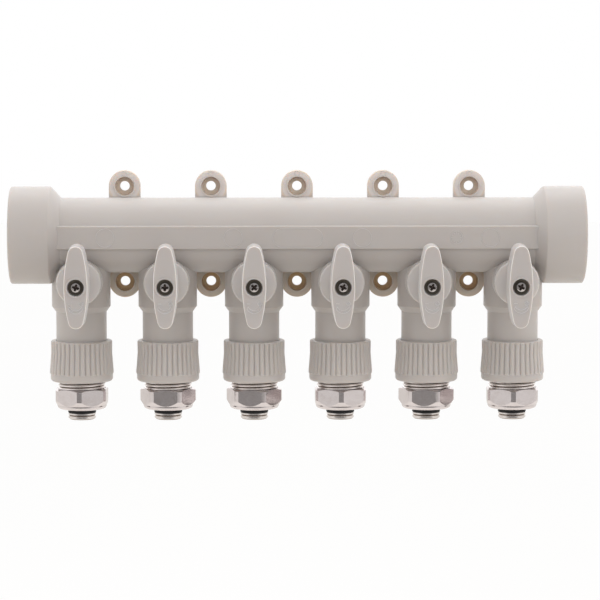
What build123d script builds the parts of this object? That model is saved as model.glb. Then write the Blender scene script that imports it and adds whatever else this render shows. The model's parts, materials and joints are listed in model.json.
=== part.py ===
from build123d import *
import math
import os

# Frame: X runs along the header, -Y is the front, +Z is up, and Y = 0 is the wall plane.
# Heights named below are distances down from the header axis, and depths are distances in front of it.

# Header tube and its two pipe sockets
outlet_count = 6
outlet_pitch = 48.0
wall_to_axis = 27.5
header_outer_d = 41.5
header_bore_d = 27.0
branch_to_cone = 10.7
cone_length = 5.8
socket_outer_d = 54.0
socket_bore_d = 39.2
socket_depth = 20.5
socket_length = 22.2
rim_fillet = 1.2
shoulder_fillet = 1.0
mouth_chamfer = 0.8

# Flat label strip on the front of the header
strip_half_height = 6.5
strip_depth = 21.5
strip_chamfer = 0.5

# Wall lugs, in pairs between the branches
lug_reach = 26.6
lug_radius = 8.8
lug_front_setback = 8.0
lug_plate = 6.0
lug_post_radius = 7.2
lug_edge_fillet = 0.5
lug_rim_d = 12.3
lug_rim_height = 0.3
counterbore_d = 10.6
counterbore_floor_d = 9.6
counterbore_depth = 4.0
screw_hole_d = 5.4
screw_web = 3.0
lug_core_d = 10.4
rear_pocket_half_width = 5.8
rear_pocket_near = 4.0
rear_pocket_far = 15.0
rear_pocket_depth = 6.0

# Branch tubes with the valve bodies
branch_wide_d = 32.5
branch_wide_end = 39.4
branch_narrow_d = 28.0
branch_narrow_start = 42.5
spigot_end = 72.0
branch_bore_d = 13.0
stem_drop = 24.7
boss_d = 25.3
boss_front = 24.0

# Ball valve
ball_d = 17.0
port_d = 10.0
cavity_clearance = 0.4
seat_outer_d = 16.2
seat_bore_d = 10.6
seat_height = 10.05
seat_lip_height = 4.6
running_gap = 0.05
joint_gap = 0.05
overrun = 1.0
bonnet_flange_d = 24.5
bonnet_flange = 2.0
bonnet_chamfer = 0.5
bonnet_notch_width = 1.6
bonnet_notch_depth = 0.5
bonnet_inner_face = 9.3
stem_d = 8.0
stem_collar_d = 11.0
stem_collar_length = 2.4
stem_collar_gap = 0.1
tang_thickness = 3.0
tang_width = 7.8
tang_depth = 2.1
tang_gap = 0.1
square_side = 5.6
square_length = 10.4
square_setback = 0.5
stem_tap_d = 4.0
stem_tap_depth = 9.0
seal_depth = 15.0
seal_width = 2.1
seal_outer_d = 11.1

# Butterfly handle
handle_front = 51.0
handle_back = 35.5
handle_half_width = 6.4
handle_half_length = 22.3
handle_tip_radius = 4.1
handle_spread = 0.4
handle_wall = 1.8
handle_plate = 2.4
handle_edge_fillet = 0.6
hub_d = 11.6
hub_to_bonnet = 0.4
hub_web = 1.9
well_d = 9.2
well_depth = 2.6
well_rim_d = 11.3
well_rim_height = 0.3

# Handle screw and its dished washer
screw_head_d = 5.2
screw_head_height = 1.3
screw_dome = 0.5
screw_shank_d = 3.9
screw_length = 10.5
screw_point = 0.5
screw_clearance_d = 4.2
washer_d = 8.3
washer_thickness = 0.8
washer_dish = 0.3
washer_bevel = 0.2
recess_slot = 0.9
recess_span = 3.0
recess_depth = 1.0

# Ribbed outlet collar
collar_top = 58.5
collar_bottom = 81.2
collar_top_d = 34.0
collar_waist_d = 33.8
collar_waist = 65.5
collar_flare_d = 35.4
collar_flare = 75.6
rib_end = 76.8
collar_band_d = 34.6
collar_band_fillet = 1.6
collar_top_fillet = 0.6
rib_count = 36
rib_groove_d = 1.5
rib_groove_depth = 0.5

# Brass outlet insert
insert_bore_d = 13.0
insert_flange_d = 26.8
insert_flange_start = 72.6
insert_flange_end = 75.0
insert_neck_d = 22.6
insert_neck_end = 77.6
insert_throat_d = 19.0
thread_d = 26.4
thread_top = 82.3
insert_bottom = 90.0
thread_chamfer = 0.6

# Hexagon nut
nut_flats = 28.0
nut_corner_d = 30.9
nut_top = 85.3
nut_hex_end = 94.4
nut_end = 96.7
nut_chamfer = 0.9
nut_lower_chamfer = 2.4
nut_face_step = 0.1
nut_collar_d = 27.4
nut_collar_taper = 1.5
nut_collar_round = 0.5
nut_mouth_d = 20.6
nut_bore_end = 91.4
nut_cone_start_d = 24.6
nut_cone_end = 95.9
nut_face_turns = (27.5, -4.5, -10.0, 30.5, -9.0, 28.0)

# Pipe nipple with its seal and split ring
nipple_d = 15.2
nipple_bore_d = 11.0
nipple_flange_d = 23.0
nipple_flange = 2.3
nipple_end = 102.6
nipple_tip_fillet = 0.7
nipple_seal_top = 97.5
nipple_seal_width = 1.6
nipple_seal_stand = 0.2
nipple_groove_d = 12.8
nipple_notch_top = 100.0
nipple_notch_width = 0.8
nipple_notch_depth = 0.45
pipe_outer_d = 20.0
split_ring_gap = 0.1
split_ring_top = 93.3
split_ring_length = 2.3
split_ring_cut = 1.5

# Values that follow from the driving dimensions
header_r = header_outer_d / 2
cone_start = (outlet_count - 1) * outlet_pitch / 2 + branch_to_cone
cone_end = cone_start + cone_length
header_end = cone_end + socket_length
ball_r = ball_d / 2
cavity_r = ball_r + cavity_clearance
bonnet_front = boss_front + bonnet_flange
lug_plate_back = lug_front_setback + lug_plate
lug_floor = lug_front_setback + counterbore_depth
lug_web_back = lug_floor + screw_web
square_start = handle_back + square_setback
stem_end = square_start + square_length
well_floor = handle_front - well_depth
head_seat = well_floor + washer_thickness + joint_gap
outlets = range(outlet_count)


def outlet_x(index):
    """X of one outlet, counted from the left."""
    return (index - (outlet_count - 1) / 2) * outlet_pitch


def lug_x(index):
    """X of one pair of lugs, midway between two outlets."""
    return (outlet_x(index) + outlet_x(index + 1)) / 2


def in_row(x=0.0):
    """Place something that was drawn about the header axis."""
    return Pos(x, -wall_to_axis, 0)


def rod_y(diameter, front, back, x=0.0, z=0.0):
    """Cylinder along Y, from a depth in front of the header axis to one nearer the wall."""
    length = front - back
    return Pos(x, -(front + back) / 2, z) * Rot(90, 0, 0) * Cylinder(diameter / 2, length)


def block(x_span, y_span, z_span):
    """Box between the given limits."""
    sizes = [high - low for low, high in (x_span, y_span, z_span)]
    middles = [(high + low) / 2 for low, high in (x_span, y_span, z_span)]
    return Pos(*middles) * Box(*sizes)


def turned_x(outline):
    """Turn a closed outline of (x, radius) points about the X axis."""
    return revolve(make_face(Polyline(*outline, close=True)), Axis.X)


def turned_z(outline):
    """Turn a closed outline of (radius, drop) points about the Z axis."""
    points = [(radius, -drop) for radius, drop in outline]
    return revolve(make_face(Plane.XZ * Polyline(*points, close=True)), Axis.Z)


def turned_y(outline, z=0.0):
    """Turn a closed outline of (radius, depth) points about a Y axis at the given height."""
    points = [(radius, -depth) for radius, depth in outline]
    return Pos(0, 0, z) * revolve(make_face(Polyline(*points, close=True)), Axis.Y)


def header_outside():
    """Header tube, its cones and sockets, as one turned solid."""
    socket_r = socket_outer_d / 2
    outline = [
        (-header_end, 0),
        (-header_end, socket_r),
        (-cone_end, socket_r),
        (-cone_start, header_r),
        (cone_start, header_r),
        (cone_end, socket_r),
        (header_end, socket_r),
        (header_end, 0),
    ]
    tube = turned_x(outline)
    circles = tube.edges().filter_by(GeomType.CIRCLE).sort_by(Axis.X)
    shoulders = [circles[1], circles[-2]]
    tube = fillet(shoulders, shoulder_fillet)
    circles = tube.edges().filter_by(GeomType.CIRCLE).sort_by(Axis.X)
    return fillet([circles[0], circles[-1]], rim_fillet)


def header_waterway():
    """Bore of the header with the two pipe sockets and their chamfered mouths."""
    socket_r = socket_bore_d / 2
    bore_r = header_bore_d / 2
    outline = [
        (-header_end, 0),
        (-header_end, socket_r + mouth_chamfer),
        (-header_end + mouth_chamfer, socket_r),
        (-header_end + socket_depth, socket_r),
        (-header_end + socket_depth, bore_r),
        (header_end - socket_depth, bore_r),
        (header_end - socket_depth, socket_r),
        (header_end - mouth_chamfer, socket_r),
        (header_end, socket_r + mouth_chamfer),
        (header_end, 0),
    ]
    return turned_x(outline)


def label_strip():
    """Flat strip along the front of the tube, running into both cones."""
    low = strip_half_height - strip_chamfer
    back = (header_bore_d / 2 + header_r) / 2
    outline = [
        (-back, -strip_half_height),
        (-strip_depth + strip_chamfer, -strip_half_height),
        (-strip_depth, -low),
        (-strip_depth, low),
        (-strip_depth + strip_chamfer, strip_half_height),
        (-back, strip_half_height),
    ]
    section = make_face(Plane.YZ.offset(-cone_end) * Polyline(*outline, close=True))
    return extrude(section, 2 * cone_end, dir=(1, 0, 0))


def lug_layer(radius, front, back):
    """One layer of a pair of lugs: two round ends and the bar between them."""
    layer = block((-radius, radius), (front, back), (-lug_reach, lug_reach))
    for z in (-lug_reach, lug_reach):
        layer += rod_y(2 * radius, -front, -back, z=z)
    return layer


def lug_pair():
    """Top and bottom lug: a plate in front, and a slimmer post that runs back to the wall."""
    plate = lug_layer(lug_radius, lug_front_setback, lug_plate_back)
    lugs = fillet(plate.edges().group_by(Axis.Y)[0], lug_edge_fillet)
    lugs += lug_layer(lug_post_radius, lug_plate_back, wall_to_axis)
    for z in (-lug_reach, lug_reach):
        rim_front = lug_rim_height - lug_front_setback
        lugs += rod_y(lug_rim_d, rim_front, -lug_floor, z=z)
    return lugs


def lug_scallops():
    """Clearance for the screw heads, cut in the tube ahead of the two lugs."""
    front = header_r / 2
    back = lug_rim_height - lug_front_setback
    return [rod_y(lug_rim_d, front, back, z=z) for z in (-lug_reach, lug_reach)]


def lug_holes():
    """Counterbores, screw holes, cored backs and rear pockets of one pair of lugs."""
    rim_face = lug_front_setback - lug_rim_height
    outline = [
        (0, -rim_face),
        (counterbore_d / 2, -rim_face),
        (counterbore_floor_d / 2, -lug_floor),
        (screw_hole_d / 2, -lug_floor),
        (screw_hole_d / 2, -lug_web_back),
        (lug_core_d / 2, -lug_web_back),
        (lug_core_d / 2, -wall_to_axis),
        (0, -wall_to_axis),
    ]
    cuts = []
    for side in (-1, 1):
        cuts.append(turned_y(outline, side * lug_reach))
        z_span = sorted((side * rear_pocket_near, side * rear_pocket_far))
        y_span = (wall_to_axis - rear_pocket_depth, wall_to_axis)
        cuts.append(block((-rear_pocket_half_width, rear_pocket_half_width), y_span, z_span))
    return cuts


def branch_outside():
    """One branch: valve body, step, narrow tube and spigot, with the round boss in front."""
    wide_r = branch_wide_d / 2
    narrow_r = branch_narrow_d / 2
    outline = [
        (0, 0),
        (wide_r, 0),
        (wide_r, branch_wide_end),
        (narrow_r, branch_narrow_start),
        (narrow_r, spigot_end),
        (0, spigot_end),
    ]
    return turned_z(outline) + rod_y(boss_d, boss_front, 0, z=-stem_drop)


def branch_waterway():
    """Ball cavity, seat pockets and bore of one branch."""
    pocket_top = stem_drop - seat_height - joint_gap
    pocket_end = stem_drop + seat_height + joint_gap
    pocket_r = seat_outer_d / 2 + joint_gap
    throat_r = seat_bore_d / 2
    outline = [
        (0, 0),
        (throat_r, 0),
        (throat_r, pocket_top),
        (pocket_r, pocket_top),
        (pocket_r, pocket_end),
        (branch_bore_d / 2, pocket_end),
        (branch_bore_d / 2, spigot_end),
        (0, spigot_end),
    ]
    return turned_z(outline) + rod_y(2 * cavity_r, boss_front, -cavity_r, z=-stem_drop)


def manifold_body():
    """The one-piece moulding: header, sockets, lugs, branches and valve bosses."""
    lugs = [lug_x(index) for index in range(outlet_count - 1)]
    branches = [outlet_x(index) for index in outlets]
    body = header_outside() + label_strip()
    scallops = [Pos(x, 0, 0) * cut for x in lugs for cut in lug_scallops()]
    body = body - scallops
    post = lug_pair()
    branch = branch_outside()
    body = body + [Pos(x, 0, 0) * post for x in lugs] + [Pos(x, 0, 0) * branch for x in branches]
    waterway = branch_waterway()
    holes = [Pos(x, 0, 0) * cut for x in lugs for cut in lug_holes()]
    bores = [Pos(x, 0, 0) * waterway for x in branches]
    return body - ([header_waterway()] + bores + holes)


def ball():
    """Valve ball, open: its port stands upright and its slot lies across the flow."""
    slot = tang_thickness / 2 + tang_gap
    slot_floor = ball_r - tang_depth - tang_gap
    sphere = Sphere(ball_r) - Cylinder(port_d / 2, ball_d)
    cut = block((-ball_r, ball_r), (-ball_r, -slot_floor), (-slot, slot))
    return Pos(0, 0, -stem_drop) * (sphere - cut)


def ball_seat(side):
    """One seat ring, above or below the ball, with its spherical face."""
    outline = [
        (seat_bore_d / 2, -side * seat_lip_height),
        (seat_outer_d / 2, -side * seat_lip_height),
        (seat_outer_d / 2, -side * seat_height),
        (seat_bore_d / 2, -side * seat_height),
    ]
    ring = turned_z(outline) - Sphere(ball_r + running_gap)
    return Pos(0, 0, -stem_drop) * ring


def bonnet():
    """Round cap that closes the ball cavity and guides the stem."""
    plug_r = cavity_r - joint_gap
    flange_r = bonnet_flange_d / 2
    bore_r = stem_d / 2 + running_gap
    recess_r = stem_collar_d / 2 + running_gap
    recess_end = bonnet_inner_face + stem_collar_length - stem_collar_gap
    groove_r = seal_outer_d / 2 + joint_gap
    outline = [
        (recess_r, bonnet_inner_face),
        (plug_r, bonnet_inner_face),
        (plug_r, boss_front),
        (flange_r, boss_front),
        (flange_r, bonnet_front - bonnet_chamfer),
        (flange_r - bonnet_chamfer, bonnet_front),
        (bore_r, bonnet_front),
        (bore_r, seal_depth + seal_width + joint_gap),
        (groove_r, seal_depth + seal_width + joint_gap),
        (groove_r, seal_depth - joint_gap),
        (bore_r, seal_depth - joint_gap),
        (bore_r, recess_end),
        (recess_r, recess_end),
    ]
    cap = turned_y(outline)
    half = bonnet_notch_width / 2
    y_span = (-bonnet_front, -bonnet_front + bonnet_flange / 2)
    for side in (-1, 1):
        x_span = sorted((side * (flange_r - bonnet_notch_depth), side * (flange_r + overrun)))
        cap -= block(x_span, y_span, (-half, half))
    return Pos(0, 0, -stem_drop) * cap


def stem_seal():
    """Seal ring in the groove of the bonnet, running on the stem."""
    outline = [
        (stem_d / 2 + running_gap, seal_depth),
        (seal_outer_d / 2, seal_depth),
        (seal_outer_d / 2, seal_depth + seal_width),
        (stem_d / 2 + running_gap, seal_depth + seal_width),
    ]
    return turned_y(outline, -stem_drop)


def stem():
    """Valve stem: tang, collar, shaft and square, tapped for the handle screw."""
    collar_back = bonnet_inner_face - stem_collar_gap
    collar_front = collar_back + stem_collar_length - stem_collar_gap
    half_square = square_side / 2
    half_tang = tang_thickness / 2
    body = rod_y(stem_collar_d, collar_front, collar_back)
    body += rod_y(stem_d, square_start, collar_front)
    body += block((-half_square, half_square), (-stem_end, -square_start), (-half_square, half_square))
    tang_tip = ball_r - tang_depth
    body += block((-tang_width / 2, tang_width / 2), (-collar_back, -tang_tip), (-half_tang, half_tang))
    body -= rod_y(stem_tap_d, stem_end, stem_end - stem_tap_depth)
    return Pos(0, 0, -stem_drop) * body


def wing_face(depth, growth):
    """Handle outline of tangent arcs at one depth, grown or shrunk evenly all round."""
    tip_centre = handle_half_length - handle_tip_radius
    side_r = (handle_half_width**2 + tip_centre**2 - handle_tip_radius**2) / (
        2 * (handle_half_width - handle_tip_radius)
    )
    angle = math.asin(tip_centre / (side_r - handle_tip_radius))
    tip_r = handle_tip_radius + growth
    x = tip_r * math.cos(angle)
    z = tip_centre + tip_r * math.sin(angle)
    width = handle_half_width + growth
    length = handle_half_length + growth
    arcs = [
        ThreePointArc((x, -z), (width, 0), (x, z)),
        ThreePointArc((x, z), (0, length), (-x, z)),
        ThreePointArc((-x, z), (-width, 0), (-x, -z)),
        ThreePointArc((-x, -z), (0, -length), (x, -z)),
    ]
    plane = Plane(origin=(0, -depth, 0), x_dir=(1, 0, 0), z_dir=(0, -1, 0))
    return plane * make_face(arcs)


def handle():
    """Hollow butterfly handle with its hub, the screw well and the raised ring round it."""
    shell = loft([wing_face(handle_back, handle_spread), wing_face(handle_front, 0)])
    shell = fillet(shell.edges().group_by(Axis.Y)[0], handle_edge_fillet)
    plate_back = handle_front - handle_plate
    inner_spread = handle_spread * (plate_back - handle_back) / (handle_front - handle_back)
    hollow = loft(
        [
            wing_face(handle_back, handle_spread - handle_wall),
            wing_face(plate_back, handle_spread - inner_spread - handle_wall),
        ]
    )
    hub_back = bonnet_front + hub_to_bonnet
    half = square_side / 2 + joint_gap
    shell = shell - hollow
    shell += rod_y(hub_d, handle_front - overrun, hub_back)
    shell += rod_y(well_rim_d, handle_front + well_rim_height, handle_front - overrun)
    shell -= rod_y(well_d, handle_front + well_rim_height, well_floor)
    shell -= rod_y(screw_clearance_d, well_floor, well_floor - hub_web)
    shell -= block((-half, half), (-well_floor + hub_web, -square_start), (-half, half))
    shell -= rod_y(stem_d + 2 * joint_gap, square_start + joint_gap, hub_back)
    return Pos(0, 0, -stem_drop) * shell


def handle_screw():
    """Cross-recess screw and the dished washer under its head, as two solids."""
    head_r = screw_head_d / 2
    shank_r = screw_shank_d / 2
    head_top = head_seat + screw_head_height
    outline = [
        (0, head_seat - screw_length),
        (shank_r - screw_point, head_seat - screw_length),
        (shank_r, head_seat - screw_length + screw_point),
        (shank_r, head_seat),
        (head_r, head_seat),
        (head_r, head_top - screw_dome),
        (head_r - screw_dome, head_top),
        (0, head_top),
    ]
    screw = turned_y(outline)
    y_span = (-head_top, -head_top + recess_depth)
    wide = (-recess_span / 2, recess_span / 2)
    narrow = (-recess_slot / 2, recess_slot / 2)
    screw -= block(wide, y_span, narrow) + block(narrow, y_span, wide)
    rim = washer_d / 2
    hole = shank_r + running_gap
    washer_outline = [
        (hole, well_floor),
        (rim, well_floor),
        (rim, well_floor + washer_thickness),
        (head_r + washer_bevel, well_floor + washer_thickness - washer_dish),
        (hole, well_floor + washer_thickness),
    ]
    screw = Rot(0, 45, 0) * screw
    return [Pos(0, 0, -stem_drop) * part for part in (screw, turned_y(washer_outline))]


def collar_outline():
    """Waisted outside and stepped inside of the outlet collar, as (radius, drop) points."""
    spigot_r = branch_narrow_d / 2 + joint_gap
    flange_r = insert_flange_d / 2 + joint_gap
    neck_r = insert_neck_d / 2 + joint_gap
    throat_r = insert_throat_d / 2 + joint_gap
    outside = [
        (collar_top_d / 2 - collar_top_fillet, collar_top),
        (collar_top_d / 2, collar_top + collar_top_fillet),
        (collar_waist_d / 2, collar_waist),
        (collar_flare_d / 2, collar_flare),
        (collar_flare_d / 2, rib_end),
        (collar_band_d / 2, rib_end),
        (collar_band_d / 2, collar_bottom),
    ]
    inside = [
        (throat_r, collar_bottom),
        (throat_r, insert_neck_end),
        (neck_r, insert_neck_end),
        (neck_r, insert_flange_end + joint_gap),
        (flange_r, insert_flange_end + joint_gap),
        (flange_r, spigot_end + joint_gap),
        (spigot_r, spigot_end + joint_gap),
        (spigot_r, collar_top),
    ]
    return outside + inside


def rib_groove():
    """Round groove between two ribs, following the waist and the flare of the collar."""
    outset = rib_groove_d / 2 - rib_groove_depth
    path = [
        (collar_top_d / 2 + outset, collar_top - overrun),
        (collar_waist_d / 2 + outset, collar_waist),
        (collar_flare_d / 2 + outset, collar_flare),
        (collar_flare_d / 2 + outset, rib_end),
    ]
    sections = [Pos(radius, 0, -drop) * Circle(rib_groove_d / 2) for radius, drop in path]
    return loft(sections, ruled=True)


def outlet_collar():
    """Ribbed plastic collar over the end of one branch."""
    blank = turned_z(collar_outline())
    circles = blank.edges().filter_by(GeomType.CIRCLE)
    bottom = circles.group_by(Axis.Z)[0].sort_by(SortBy.RADIUS)[-1]
    blank = fillet(bottom, collar_band_fillet)
    groove = rib_groove()
    return blank - [Rot(0, 0, index * 360 / rib_count) * groove for index in range(rib_count)]


def outlet_insert():
    """Brass insert held in the collar, with its male thread below."""
    flange_r = insert_flange_d / 2
    neck_r = insert_neck_d / 2
    throat_r = insert_throat_d / 2
    thread_r = thread_d / 2
    bore_r = insert_bore_d / 2
    outline = [
        (bore_r, insert_flange_start),
        (flange_r, insert_flange_start),
        (flange_r, insert_flange_end),
        (neck_r, insert_flange_end),
        (neck_r, insert_neck_end - joint_gap),
        (throat_r, insert_neck_end - joint_gap),
        (throat_r, thread_top),
        (thread_r - thread_chamfer, thread_top),
        (thread_r, thread_top + thread_chamfer),
        (thread_r, insert_bottom - thread_chamfer),
        (thread_r - thread_chamfer, insert_bottom),
        (bore_r, insert_bottom),
    ]
    return turned_z(outline)


def nut_cone_d(drop):
    """Diameter of the nut's inner cone at one height."""
    share = (drop - nut_bore_end) / (nut_cone_end - nut_bore_end)
    return nut_cone_start_d + share * (nut_mouth_d - nut_cone_start_d)


def hex_nut(index):
    """Hexagon nut, turned from a face square to the front to where it was tightened."""
    corner_r = nut_corner_d / 2
    face_r = nut_flats / 2
    collar_r = nut_collar_d / 2
    bore_r = thread_d / 2 + joint_gap
    turned = turned_z(
        [
            (0, nut_top),
            (face_r - nut_face_step, nut_top),
            (corner_r, nut_top + nut_chamfer),
            (corner_r, nut_hex_end - nut_lower_chamfer),
            (face_r - nut_face_step, nut_hex_end),
            (0, nut_hex_end),
        ]
    )
    height = nut_hex_end - nut_top
    hexagon = extrude(RegularPolygon(face_r, 6, major_radius=False), height)
    hexagon = Pos(0, 0, -nut_hex_end) * hexagon
    round_end = turned_z(
        [
            (0, nut_hex_end),
            (collar_r, nut_hex_end),
            (collar_r, nut_end - nut_collar_taper),
            (collar_r - nut_collar_round, nut_end - nut_collar_round),
            (collar_r - nut_collar_taper, nut_end),
            (0, nut_end),
        ]
    )
    bore = turned_z(
        [
            (0, nut_top),
            (bore_r, nut_top),
            (bore_r, nut_bore_end),
            (nut_cone_start_d / 2, nut_bore_end),
            (nut_mouth_d / 2, nut_cone_end),
            (nut_mouth_d / 2, nut_end),
            (0, nut_end),
        ]
    )
    nut = (turned & hexagon) + round_end - bore
    return Rot(0, 0, nut_face_turns[index % len(nut_face_turns)]) * nut


def pipe_nipple():
    """Push-in nipple with its flange inside the nut, a seal groove and a notch near the tip."""
    outer_r = nipple_d / 2
    bore_r = nipple_bore_d / 2
    flange_top = insert_bottom + joint_gap
    seal_end = nipple_seal_top + nipple_seal_width
    notch_r = outer_r - nipple_notch_depth
    outline = [
        (bore_r, flange_top),
        (nipple_flange_d / 2, flange_top),
        (nipple_flange_d / 2, flange_top + nipple_flange),
        (outer_r, flange_top + nipple_flange),
        (outer_r, nipple_seal_top - joint_gap),
        (nipple_groove_d / 2, nipple_seal_top - joint_gap),
        (nipple_groove_d / 2, seal_end + joint_gap),
        (outer_r, seal_end + joint_gap),
        (outer_r, nipple_notch_top),
        (notch_r, nipple_notch_top + nipple_notch_width / 3),
        (notch_r, nipple_notch_top + nipple_notch_width * 2 / 3),
        (outer_r, nipple_notch_top + nipple_notch_width),
        (outer_r, nipple_end - nipple_tip_fillet),
        (outer_r - nipple_tip_fillet, nipple_end),
        (bore_r, nipple_end),
    ]
    return turned_z(outline)


def nipple_seal():
    """Seal ring round the nipple, standing a little proud of it."""
    inner_r = nipple_groove_d / 2 + joint_gap
    outer_r = nipple_d / 2 + nipple_seal_stand
    seal_end = nipple_seal_top + nipple_seal_width
    edge = nipple_seal_width / 4
    outline = [
        (inner_r, nipple_seal_top),
        (outer_r - edge, nipple_seal_top),
        (outer_r, nipple_seal_top + edge),
        (outer_r, seal_end - edge),
        (outer_r - edge, seal_end),
        (inner_r, seal_end),
    ]
    return turned_z(outline)


def split_ring():
    """Slit clamping ring that waits in the cone of the nut."""
    inner_r = pipe_outer_d / 2 + split_ring_gap
    end = split_ring_top + split_ring_length
    outline = [
        (inner_r, split_ring_top),
        (nut_cone_d(split_ring_top) / 2 - split_ring_gap, split_ring_top),
        (nut_cone_d(end) / 2 - split_ring_gap, end),
        (inner_r, end),
    ]
    half = split_ring_cut / 2
    slit = block((-half, half), (0, nut_corner_d), (-end - overrun, -split_ring_top + overrun))
    return turned_z(outline) - slit


def write_node(name, solids):
    """Write one node, of one or more separate solids, as a STEP file."""
    shape = solids[0] if len(solids) == 1 else Compound(children=list(solids))
    shape.label = name
    export_step(shape, f"parts/{name}.step")


def as_solids(shapes):
    """The plain solids of some shapes."""
    return [solid for shape in shapes for solid in shape.solids()]


def write_numbered(name, make):
    """Write one node for each outlet, from a function of the outlet's index."""
    for index in outlets:
        place = in_row(outlet_x(index))
        write_node(f"{name}_{index + 1}", as_solids([place * shape for shape in make(index)]))


def write_group(name, shapes):
    """Write one node that holds the same small pieces for every outlet."""
    placed = [in_row(outlet_x(index)) * shape for index in outlets for shape in shapes]
    write_node(name, as_solids(placed))


def main():
    """Build every piece and write it to its own file."""
    os.makedirs("parts", exist_ok=True)
    write_node("manifold_body", as_solids([in_row() * manifold_body()]))
    alike = {
        "bonnet": [bonnet()],
        "stem": [stem()],
        "ball": [ball()],
        "handle": [handle()],
        "handle_screw": handle_screw(),
        "outlet_collar": [outlet_collar()],
        "outlet_insert": [outlet_insert()],
        "pipe_nipple": [pipe_nipple()],
    }
    for name, shapes in alike.items():
        write_numbered(name, lambda index, shapes=shapes: shapes)
    write_numbered("hex_nut", lambda index: [hex_nut(index)])
    write_group("ball_seats", [ball_seat(1), ball_seat(-1)])
    write_group("stem_seals", [stem_seal()])
    write_group("nipple_seals", [nipple_seal()])
    write_group("split_rings", [split_ring()])


main()
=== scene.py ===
"""Dresses the distribution manifold: grey moulded plastic, plated outlets and butterfly valve handles."""

import json
import logging
import math
from dataclasses import dataclass, field, replace
from enum import Enum
from typing import NamedTuple, Optional, Union

import bmesh
import bpy
from mathutils import Matrix, Vector


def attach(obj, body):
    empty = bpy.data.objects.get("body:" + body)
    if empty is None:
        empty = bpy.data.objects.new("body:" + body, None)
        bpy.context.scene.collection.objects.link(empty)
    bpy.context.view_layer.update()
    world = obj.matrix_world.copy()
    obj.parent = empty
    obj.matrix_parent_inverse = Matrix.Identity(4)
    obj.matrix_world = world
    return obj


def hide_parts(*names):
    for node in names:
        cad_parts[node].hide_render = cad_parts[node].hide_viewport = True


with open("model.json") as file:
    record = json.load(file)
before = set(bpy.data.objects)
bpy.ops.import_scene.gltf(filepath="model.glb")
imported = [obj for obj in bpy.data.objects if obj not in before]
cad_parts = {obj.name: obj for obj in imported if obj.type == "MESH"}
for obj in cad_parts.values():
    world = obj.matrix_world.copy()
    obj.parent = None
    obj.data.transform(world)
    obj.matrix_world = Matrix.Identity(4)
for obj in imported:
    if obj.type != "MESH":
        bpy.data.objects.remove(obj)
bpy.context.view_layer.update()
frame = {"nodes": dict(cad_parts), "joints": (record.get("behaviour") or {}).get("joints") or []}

logging.basicConfig(level=logging.INFO, format="%(message)s")
LOG = logging.getLogger("manifold")

MM = 0.001
LUG_REACH = 26.6 * MM        # from the header's axis up or down to a lug's screw hole
LUG_SETBACK = 8.0 * MM       # from the header's axis back to the lugs' front face
TUBE_RADIUS = 20.75 * MM     # the header tube
SCREW_TOP = 50.55            # from the header's axis forward to the top of a handle screw, in mm
Colour = tuple[float, float, float]
Value = Union[float, int, tuple, bpy.types.NodeSocket]


class Slot(Enum):
    """The material slots of the record that a piece can take its finish from."""

    BODY = "ppr_grey"
    HANDLE = "handle_grey"
    PLATE = "nickel_plate"
    BRASS = "brass_stem"
    CHROME = "chrome_ball"
    STEEL = "screw_steel"
    WHITE = "ptfe"
    RUBBER = "seal_rubber"


class Ramp(NamedTuple):
    """A range of a value, and what its ends become."""

    start: float
    end: float
    first: float
    last: float


class Graph:
    """A node tree under construction, for a material or for geometry."""

    def __init__(self, tree: bpy.types.NodeTree) -> None:
        """Keep the tree that the nodes go into."""
        self.tree = tree

    def feed(self, socket: bpy.types.NodeSocket, value: Value) -> None:
        """Link a socket, or set its constant.

        Args:
            socket: The input to feed.
            value: Another node's output, or a constant.
        """
        if isinstance(value, bpy.types.NodeSocket):
            self.tree.links.new(value, socket)
        else:
            socket.default_value = value

    def add(
        self, kind: str, inputs: Optional[dict[Union[str, int], Value]] = None, **settings
    ) -> bpy.types.Node:
        """Add one node.

        Args:
            kind: The node's type name.
            inputs: What feeds its inputs, by name or number.
            settings: Its other properties.

        Returns:
            The new node.
        """
        node = self.tree.nodes.new(kind)
        for name, value in settings.items():
            setattr(node, name, value)
        for key, value in (inputs or {}).items():
            self.feed(node.inputs[key], value)
        return node

    def math(self, operation: str, first: Value, second: Value = 0.0) -> bpy.types.NodeSocket:
        """Add one Math node and return its result.

        Args:
            operation: The operation's name.
            first: The first operand.
            second: The second operand.

        Returns:
            The result's socket.
        """
        return self.add("ShaderNodeMath", {0: first, 1: second}, operation=operation).outputs[0]

    def distance(self, across: Value, up: Value) -> bpy.types.NodeSocket:
        """Length of a flat vector.

        Args:
            across: Its first part.
            up: Its second part.

        Returns:
            The length's socket.
        """
        square = self.math("ADD", self.math("MULTIPLY", across, across), self.math("MULTIPLY", up, up))
        return self.math("SQRT", square)

    def product(self, *factors: Value) -> bpy.types.NodeSocket:
        """Product of two or more values, multiplied in turn."""
        result = factors[0]
        for factor in factors[1:]:
            result = self.math("MULTIPLY", result, factor)
        return result

    def remap(
        self, value: Value, low: Value, high: Value, to_low: float, to_high: float, curve: str = "LINEAR"
    ) -> bpy.types.NodeSocket:
        """Map a range of a value to another range, clamped.

        Args:
            value: The value to map.
            low: Start of its range.
            high: End of its range.
            to_low: Result at the start.
            to_high: Result at the end.
            curve: How it rises between them.

        Returns:
            The result's socket.
        """
        inputs = {"Value": value, "From Min": low, "From Max": high, "To Min": to_low, "To Max": to_high}
        return self.add("ShaderNodeMapRange", inputs, interpolation_type=curve).outputs["Result"]

    def parts(self, vector: bpy.types.NodeSocket) -> tuple:
        """The X, Y and Z sockets of a vector."""
        return tuple(self.add("ShaderNodeSeparateXYZ", {"Vector": vector}).outputs)


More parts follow.
